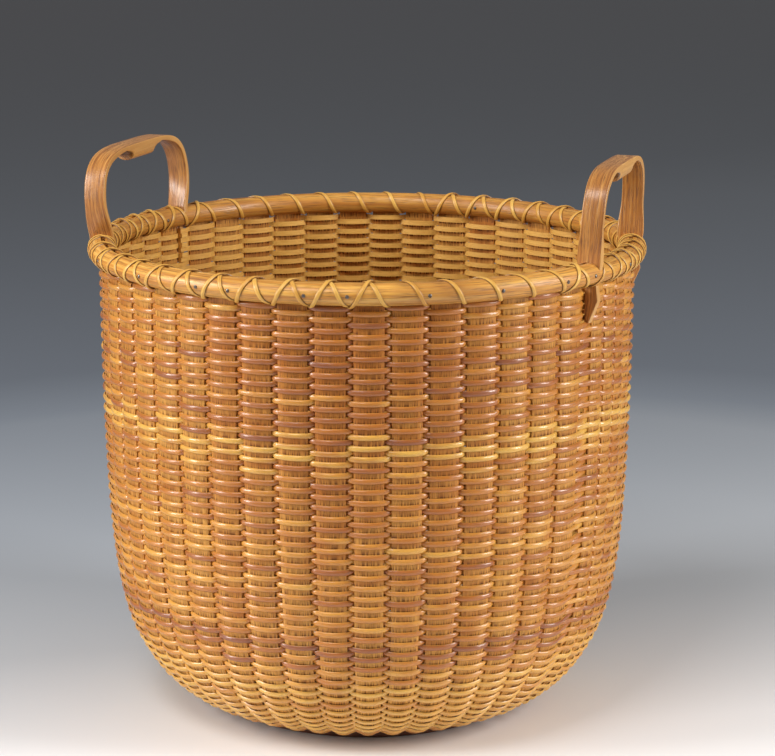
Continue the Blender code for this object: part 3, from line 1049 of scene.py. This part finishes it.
class Nodes:
    """Short ways to add and join a material's nodes."""

    def __init__(self, tree):
        self.tree = tree

    def add(self, kind, **values):
        node = self.tree.nodes.new(kind)
        for name, value in values.items():
            setattr(node, name, value)
        return node

    def join(self, source, target):
        self.tree.links.new(source, target)

    def put(self, value, socket):
        """Joins another node's output, or sets a number, vector or colour."""
        if isinstance(value, bpy.types.NodeSocket):
            self.join(value, socket)
        elif socket.type == "RGBA":
            socket.default_value = (*value, 1.0)
        else:
            socket.default_value = value

    def math(self, operation, first, second=0.0):
        node = self.add("ShaderNodeMath", operation=operation)
        self.put(first, node.inputs[0])
        self.put(second, node.inputs[1])
        return node.outputs[0]

    def times(self, value, factor):
        return self.math("MULTIPLY", value, factor)

    def vector_math(self, operation, first, second=(0.0, 0.0, 0.0)):
        node = self.add("ShaderNodeVectorMath", operation=operation)
        self.put(first, node.inputs[0])
        self.put(second, node.inputs[1])
        return node.outputs["Value"]

    def vector(self, x, y=0.0, z=0.0):
        node = self.add("ShaderNodeCombineXYZ")
        for value, socket in zip((x, y, z), node.inputs):
            self.put(value, socket)
        return node.outputs[0]

    def place(self):
        return self.add("ShaderNodeTexCoord").outputs["Object"]

    def coordinates(self):
        """The three coordinates of a place, in metres."""
        node = self.add("ShaderNodeSeparateXYZ")
        self.join(self.place(), node.inputs[0])
        return node.outputs

    def noise(self, vector, scale, detail, roughness=0.5):
        node = self.add("ShaderNodeTexNoise")
        self.put(vector, node.inputs["Vector"])
        node.inputs["Scale"].default_value = scale
        node.inputs["Detail"].default_value = detail
        node.inputs["Roughness"].default_value = roughness
        return node.outputs["Fac"]

    def stretched_noise(self, spans, detail, roughness=0.5):
        """Noise stretched along each coordinate by the size given with it."""
        shares = [self.math("DIVIDE", value, size) for value, size in spans]
        return self.noise(self.vector(*shares), 1.0, detail, roughness)

    def ramp(self, value, stops):
        node = self.add("ShaderNodeValToRGB")
        self.put(value, node.inputs["Fac"])
        marks = node.color_ramp.elements
        while len(marks) < len(stops):
            marks.new(0.5)
        for element, (place, colour) in zip(marks, stops):
            element.position = place
            element.color = (*colour, 1.0)
        return node.outputs["Color"]

    def range(self, value, low, high, new_low=0.0, new_high=1.0):
        node = self.add("ShaderNodeMapRange")
        for number, bound in enumerate((value, low, high, new_low, new_high)):
            self.put(bound, node.inputs[number])
        return node.outputs["Result"]

    def between(self, share, low, high):
        """From one level to another as a share goes from 0 to 1."""
        return self.range(share, 0.0, 1.0, low, high)

    def mix(self, share, first, second):
        node = self.add("ShaderNodeMix", data_type="RGBA")
        self.put(share, node.inputs["Factor"])
        colours = [socket for socket in node.inputs if socket.type == "RGBA"]
        self.put(first, colours[0])
        self.put(second, colours[1])
        return [socket for socket in node.outputs if socket.type == "RGBA"][0]

    def attribute(self, name):
        return self.add("ShaderNodeAttribute", attribute_name=name).outputs["Fac"]

    def group(self, tree, **values):
        node = self.add("ShaderNodeGroup", node_tree=tree)
        for name, value in values.items():
            self.put(value, node.inputs[name.replace("_", " ")])
        return node.outputs


def new_group(name, inputs, outputs):
    """A node group whose inputs, given with their values, and outputs are numbers."""
    tree = bpy.data.node_groups.new(name, "ShaderNodeTree")
    for label, value in inputs.items():
        socket = tree.interface.new_socket(label, in_out="INPUT", socket_type="NodeSocketFloat")
        socket.default_value = value
    for label in outputs:
        tree.interface.new_socket(label, in_out="OUTPUT", socket_type="NodeSocketFloat")
    nodes = Nodes(tree)
    return nodes, nodes.add("NodeGroupInput").outputs, nodes.add("NodeGroupOutput").inputs


def round_place_group():
    """Where a point is: its length round the rim, its radius and its height."""
    nodes, given, made = new_group("Place round the basket", {}, ("Round", "Out", "Up"))
    x, y, z = nodes.coordinates()
    nodes.join(nodes.times(nodes.math("ARCTAN2", y, x), stave_radius), made["Round"])
    squares = nodes.math("ADD", nodes.times(x, x), nodes.times(y, y))
    nodes.join(nodes.math("SQRT", squares), made["Out"])
    nodes.join(z, made["Up"])
    return nodes.tree


def grain_group():
    """Wood grain: long streaks, and fine dark pores that run along it."""
    sizes = {
        "Along": 0.0, "Across": 0.0, "Depth": 0.0,
        "Streak Width": 0.002, "Streak Length": 0.05,
        "Pore Width": 0.0004, "Pore Length": 0.005,
    }
    nodes, given, made = new_group("Wood grain", sizes, ("Streaks", "Pores", "Height"))

    def stretched(kind, detail):
        width = given[kind + " Width"]
        spans = (given["Along"], given[kind + " Length"]), (given["Across"], width), (given["Depth"], width)
        return nodes.stretched_noise(spans, detail, 0.55)

    streaks = stretched("Streak", 4.0)
    pores = nodes.range(stretched("Pore", 2.0), 0.52, 0.66)
    nodes.join(nodes.range(streaks, 0.3, 0.7), made["Streaks"])
    nodes.join(pores, made["Pores"])
    nodes.join(nodes.math("SUBTRACT", nodes.times(streaks, 0.4), pores), made["Height"])
    return nodes.tree


def start_material(name):
    material = bpy.data.materials.new(name)
    material.use_nodes = True
    nodes = Nodes(material.node_tree)
    return material, nodes, material.node_tree.nodes["Principled BSDF"]


def add_grain(nodes, groups, directions, streak, pore):
    """Grain along the first of three directions, with the width and length of
    its streaks and of its pores."""
    along, across, depth = directions
    return nodes.group(groups["grain"], Along=along, Across=across, Depth=depth,
                       Streak_Width=streak[0], Streak_Length=streak[1],
                       Pore_Width=pore[0], Pore_Length=pore[1])


def finish(nodes, shader, colour, roughness, grain, relief, strength, **levels):
    """Joins colour, roughness and the grain's relief, and sets other levels."""
    nodes.join(colour, shader.inputs["Base Color"])
    nodes.join(roughness, shader.inputs["Roughness"])
    for name, level in levels.items():
        shader.inputs[name.replace("_", " ")].default_value = level
    bump = nodes.add("ShaderNodeBump")
    bump.inputs["Distance"].default_value = relief
    bump.inputs["Strength"].default_value = strength
    nodes.join(grain["Height"], bump.inputs["Height"])
    nodes.join(bump.outputs["Normal"], shader.inputs["Normal"])


def varnish(nodes, place, colour):
    """Redder where the varnish lies thick, in flat smears over canes and staves."""
    smears = nodes.stretched_noise(((place["Round"], smear_length), (place["Up"], smear_height)), 3.0)
    thick = nodes.math("ADD", smears, nodes.times(nodes.attribute("red"), 0.10))
    return nodes.mix(nodes.range(thick, 0.46, 0.70, 0.0, 0.75), colour, (0.44, 0.135, 0.016))


def cane_material(groups):
    """Varnished outside, pale and dry on the flat side that faces inwards."""
    material, nodes, shader = start_material("woven cane")
    place = nodes.group(groups["place"])
    tone = nodes.attribute("tone")
    flat = nodes.attribute("flat_side")
    grain = add_grain(nodes, groups, (nodes.attribute("along"), place["Up"], place["Out"]),
                      (0.0007, 0.03), (0.00025, 0.006))
    shifted = nodes.math("ADD", tone, nodes.between(grain["Streaks"], -0.09, 0.09))
    colour = nodes.ramp(shifted, (
        (0.0, (0.76, 0.43, 0.080)),
        (0.30, (0.70, 0.33, 0.052)),
        (0.55, (0.57, 0.215, 0.028)),
        (0.80, (0.39, 0.120, 0.021)),
        (1.0, (0.26, 0.075, 0.026)),
    ))
    colour = nodes.mix(nodes.times(grain["Pores"], 0.35), colour, (0.16, 0.06, 0.02))
    colour = varnish(nodes, place, colour)
    pale = nodes.mix(grain["Streaks"], (0.70, 0.36, 0.066), (0.90, 0.54, 0.125))
    pale = nodes.mix(nodes.times(tone, 0.35), pale, (0.50, 0.24, 0.05))
    rough = nodes.math("ADD", nodes.between(grain["Streaks"], 0.24, 0.38), nodes.times(flat, 0.25))
    finish(nodes, shader, nodes.mix(flat, colour, pale), rough, grain, 0.00006, 0.6,
           Coat_Weight=0.5, Coat_Roughness=0.14)
    return material


def stave_material(groups):
    """Straight-grained wood with short dark lines that stand on each row: partly dirt, partly painted shade
    where each row meets the stave.
    """
    material, nodes, shader = start_material("stave wood")
    place = nodes.group(groups["place"])
    grain = add_grain(nodes, groups, (place["Up"], place["Round"], 0.0), (0.0018, 0.06), (0.00045, 0.010))
    tan = nodes.mix(grain["Streaks"], (0.50, 0.22, 0.038), (0.74, 0.38, 0.085))
    red = nodes.mix(grain["Streaks"], (0.40, 0.125, 0.018), (0.58, 0.215, 0.034))
    colour = varnish(nodes, place, nodes.mix(nodes.range(nodes.attribute("red"), -0.2, 1.1), tan, red))
    # Dark lines, strongest just above each row: partly dirt, partly painted shade in the crease there
    lines = nodes.stretched_noise(((place["Round"], line_width), (place["Up"], line_length)), 1.0)
    row_crease_shade_and_dirt = nodes.range(nodes.math("FRACT", nodes.attribute("rows")), 0.28, 0.62, 0.95, 0.18)
    lines = nodes.times(nodes.range(lines, 0.48, 0.57), row_crease_shade_and_dirt)
    lines = nodes.math("MAXIMUM", lines, nodes.times(grain["Pores"], 0.6))
    colour = nodes.mix(lines, colour, (0.15, 0.042, 0.007))
    finish(nodes, shader, colour, nodes.between(grain["Pores"], 0.42, 0.65), grain, 0.00008, 0.7,
           Specular_IOR_Level=0.3)
    return material


def rim_material(groups):
    """Pale hoop wood with brown streaks that run round the rim. It is browner
    in patches, and towards the inner hoop's inside."""
    material, nodes, shader = start_material("hoop wood")
    place = nodes.group(groups["place"])
    grain = add_grain(nodes, groups, (place["Round"], place["Up"], place["Out"]),
                      (0.0024, 0.075), (0.0006, 0.014))
    colour = nodes.ramp(grain["Streaks"], (
        (0.0, (0.42, 0.155, 0.025)),
        (0.30, (0.60, 0.255, 0.040)),
        (0.60, (0.72, 0.350, 0.064)),
        (1.0, (0.84, 0.485, 0.115)),
    ))
    patches = nodes.noise(nodes.vector(place["Round"], place["Up"], place["Out"]), 28.0, 2.0)
    colour = nodes.mix(nodes.range(patches, 0.50, 0.72, 0.0, 0.7), colour, (0.40, 0.165, 0.035))
    inner = nodes.range(place["Out"], stave_radius, inner_hoop_inside, 0.0, 0.55)
    colour = nodes.mix(inner, colour, (0.40, 0.155, 0.026))
    colour = nodes.mix(nodes.times(grain["Pores"], 0.55), colour, (0.15, 0.06, 0.015))
    finish(nodes, shader, colour, nodes.between(grain["Streaks"], 0.46, 0.30), grain, 0.00012, 0.8,
           Coat_Weight=0.1, Coat_Roughness=0.25)
    return material


def handle_material(groups):
    """Brown bent wood with grain along the strip, paler sawn edges and painted shade in the scooped ends
    under the grip."""
    material, nodes, shader = start_material("handle wood")
    grain = add_grain(nodes, groups, (nodes.attribute("along"), nodes.attribute("across"), 0.0),
                      (0.0017, 0.08), (0.0005, 0.012))
    colour = nodes.ramp(grain["Streaks"], (
        (0.0, (0.25, 0.085, 0.018)),
        (0.45, (0.45, 0.180, 0.040)),
        (1.0, (0.64, 0.310, 0.082)),
    ))
    colour = nodes.mix(nodes.times(grain["Pores"], 0.75), colour, (0.12, 0.040, 0.012))
    edge = nodes.mix(grain["Streaks"], (0.49, 0.225, 0.055), (0.68, 0.370, 0.110))
    colour = nodes.mix(nodes.attribute("edge"), colour, edge)
    # Painted shade on the undersides of the grip's scooped ends, read from the scoop attribute
    colour = nodes.mix(nodes.attribute("scoop"), colour, (0.085, 0.028, 0.010))
    finish(nodes, shader, colour, nodes.between(grain["Pores"], 0.34, 0.55), grain, 0.0001, 0.7,
           Coat_Weight=0.3, Coat_Roughness=0.25)
    return material


def lashing_material(groups):
    """Narrow golden cane, with painted shade along its two edges."""
    material, nodes, shader = start_material("lashing cane")
    along = nodes.attribute("along")
    across = nodes.attribute("across")
    grain = add_grain(nodes, groups, (along, nodes.times(across, lashing_width / 2), 0.0),
                      (0.0006, 0.02), (0.0003, 0.005))
    slow = nodes.noise(nodes.vector(along), 14.0, 2.0)
    colour = nodes.ramp(nodes.math("ADD", nodes.times(grain["Streaks"], 0.3), slow), (
        (0.25, (0.44, 0.17, 0.028)),
        (0.55, (0.66, 0.33, 0.058)),
        (0.85, (0.80, 0.48, 0.110)),
    ))
    # Painted shade: a dark line along both edges of the strand
    edges = nodes.range(nodes.math("ABSOLUTE", across), 0.72, 1.0, 0.0, 0.75)
    colour = nodes.mix(edges, colour, (0.12, 0.035, 0.008))
    finish(nodes, shader, colour, nodes.between(grain["Streaks"], 0.42, 0.30), grain, 0.00005, 0.6)
    return material


def base_material(groups):
    """Dark stained wood with straight grain across the disc."""
    material, nodes, shader = start_material("stained base wood")
    grain = add_grain(nodes, groups, nodes.coordinates(), (0.005, 0.09), (0.0008, 0.01))
    colour = nodes.mix(grain["Streaks"], (0.075, 0.022, 0.012), (0.15, 0.045, 0.02))
    colour = nodes.mix(nodes.times(grain["Pores"], 0.6), colour, (0.03, 0.01, 0.006))
    finish(nodes, shader, colour, nodes.between(grain["Streaks"], 0.34, 0.46), grain, 0.0001, 0.5)
    return material


def nail_material():
    """Dull dark steel with some rust."""
    material, nodes, shader = start_material("nail steel")
    rust = nodes.range(nodes.noise(nodes.place(), 900.0, 3.0), 0.45, 0.65)
    nodes.join(nodes.mix(rust, (0.20, 0.18, 0.16), (0.09, 0.045, 0.025)), shader.inputs["Base Color"])
    nodes.join(nodes.between(rust, 0.35, 0.7), shader.inputs["Roughness"])
    nodes.join(nodes.between(rust, 1.0, 0.2), shader.inputs["Metallic"])
    return material


# Studio


def studio_place(right, towards, height):
    """A place given to the right of and towards the camera from the basket."""
    x = right * math.cos(camera_bearing) + towards * math.sin(camera_bearing)
    y = right * math.sin(camera_bearing) - towards * math.cos(camera_bearing)
    return Vector((x, y, height))


def make_softboxes():
    target = Vector((0.0, 0.0, softbox_target_height))
    for name, place, width, height, power, colour in softboxes:
        light = bpy.data.lights.new(name, "AREA")
        light.shape = "RECTANGLE"
        light.size = width
        light.size_y = height
        light.energy = power
        light.color = colour
        lamp = bpy.data.objects.new(name, light)
        lamp.location = studio_place(*place)
        lamp.rotation_euler = (target - lamp.location).to_track_quat("-Z", "Y").to_euler()
        bpy.context.scene.collection.objects.link(lamp)


def make_room():
    """A warm room that lights the basket, and a dark grey where it is seen."""
    world = bpy.data.worlds.new("studio")
    bpy.context.scene.world = world
    world.use_nodes = True
    nodes = Nodes(world.node_tree)
    background = world.node_tree.nodes["Background"]
    nodes.put(room_light, background.inputs["Color"])
    background.inputs["Strength"].default_value = room_strength
    seen = nodes.add("ShaderNodeBackground")
    nodes.put(room_seen, seen.inputs["Color"])
    both = nodes.add("ShaderNodeMixShader")
    nodes.join(nodes.add("ShaderNodeLightPath").outputs["Is Camera Ray"], both.inputs[0])
    nodes.join(background.outputs[0], both.inputs[1])
    nodes.join(seen.outputs[0], both.inputs[2])
    nodes.join(both.outputs[0], world.node_tree.nodes["World Output"].inputs["Surface"])


def make_floor():
    """A pale round floor whose colour falls off to grey behind the basket: painted light falloff, with a
    painted pool of light round the basket.
    """
    bpy.ops.object.select_all(action="DESELECT")
    bpy.ops.mesh.primitive_circle_add(vertices=floor_corners, radius=floor_radius, fill_type="NGON")
    floor = bpy.context.object
    floor.name = "studio_floor"
    material, nodes, shader = start_material("studio floor")
    place = nodes.place()
    # Painted light: the colour grades by distance from the camera and from the basket, and to the right
    depth = nodes.vector_math("DOT_PRODUCT", place, studio_place(0.0, -1.0, 0.0))
    sideways = nodes.vector_math("DOT_PRODUCT", place, studio_place(floor_painted_slant, 0.0, 0.0))
    painted_pool = nodes.range(nodes.vector_math("LENGTH", place), floor_painted_pool_start, floor_painted_pool_end,
                       0.0, floor_painted_pool_share)
    share = nodes.math("POWER", nodes.range(depth, floor_near, floor_far), 0.5)
    share = nodes.math("SUBTRACT", nodes.math("MAXIMUM", share, painted_pool), sideways)
    nodes.join(nodes.ramp(share, floor_painted_light_colours), shader.inputs["Base Color"])
    shader.inputs["Roughness"].default_value = floor_roughness
    floor.data.materials.append(material)


def make_camera():
    camera = bpy.data.cameras.new("camera")
    camera.lens = camera_lens
    camera.sensor_width = camera_sensor
    camera.shift_x = camera_shift
    stand = bpy.data.objects.new("camera", camera)
    stand.location = studio_place(0.0, camera_distance, camera_height)
    stand.rotation_euler = (math.pi / 2 - camera_tilt, 0.0, camera_bearing)
    bpy.context.scene.collection.objects.link(stand)
    bpy.context.scene.camera = stand


def main():
    groups = {"place": round_place_group(), "grain": grain_group()}
    stave_wood = stave_material(groups)
    for number in range(stave_count):
        make_stave(number, stave_wood)
    make_weave(cane_material(groups))
    make_hoops(rim_material(groups))
    make_lashings(lashing_material(groups))
    make_handles(handle_material(groups))
    make_base(base_material(groups))
    make_nails(nail_material())
    make_floor()
    make_softboxes()
    make_room()
    make_camera()
    bpy.context.scene.view_settings.view_transform = "Standard"


main()
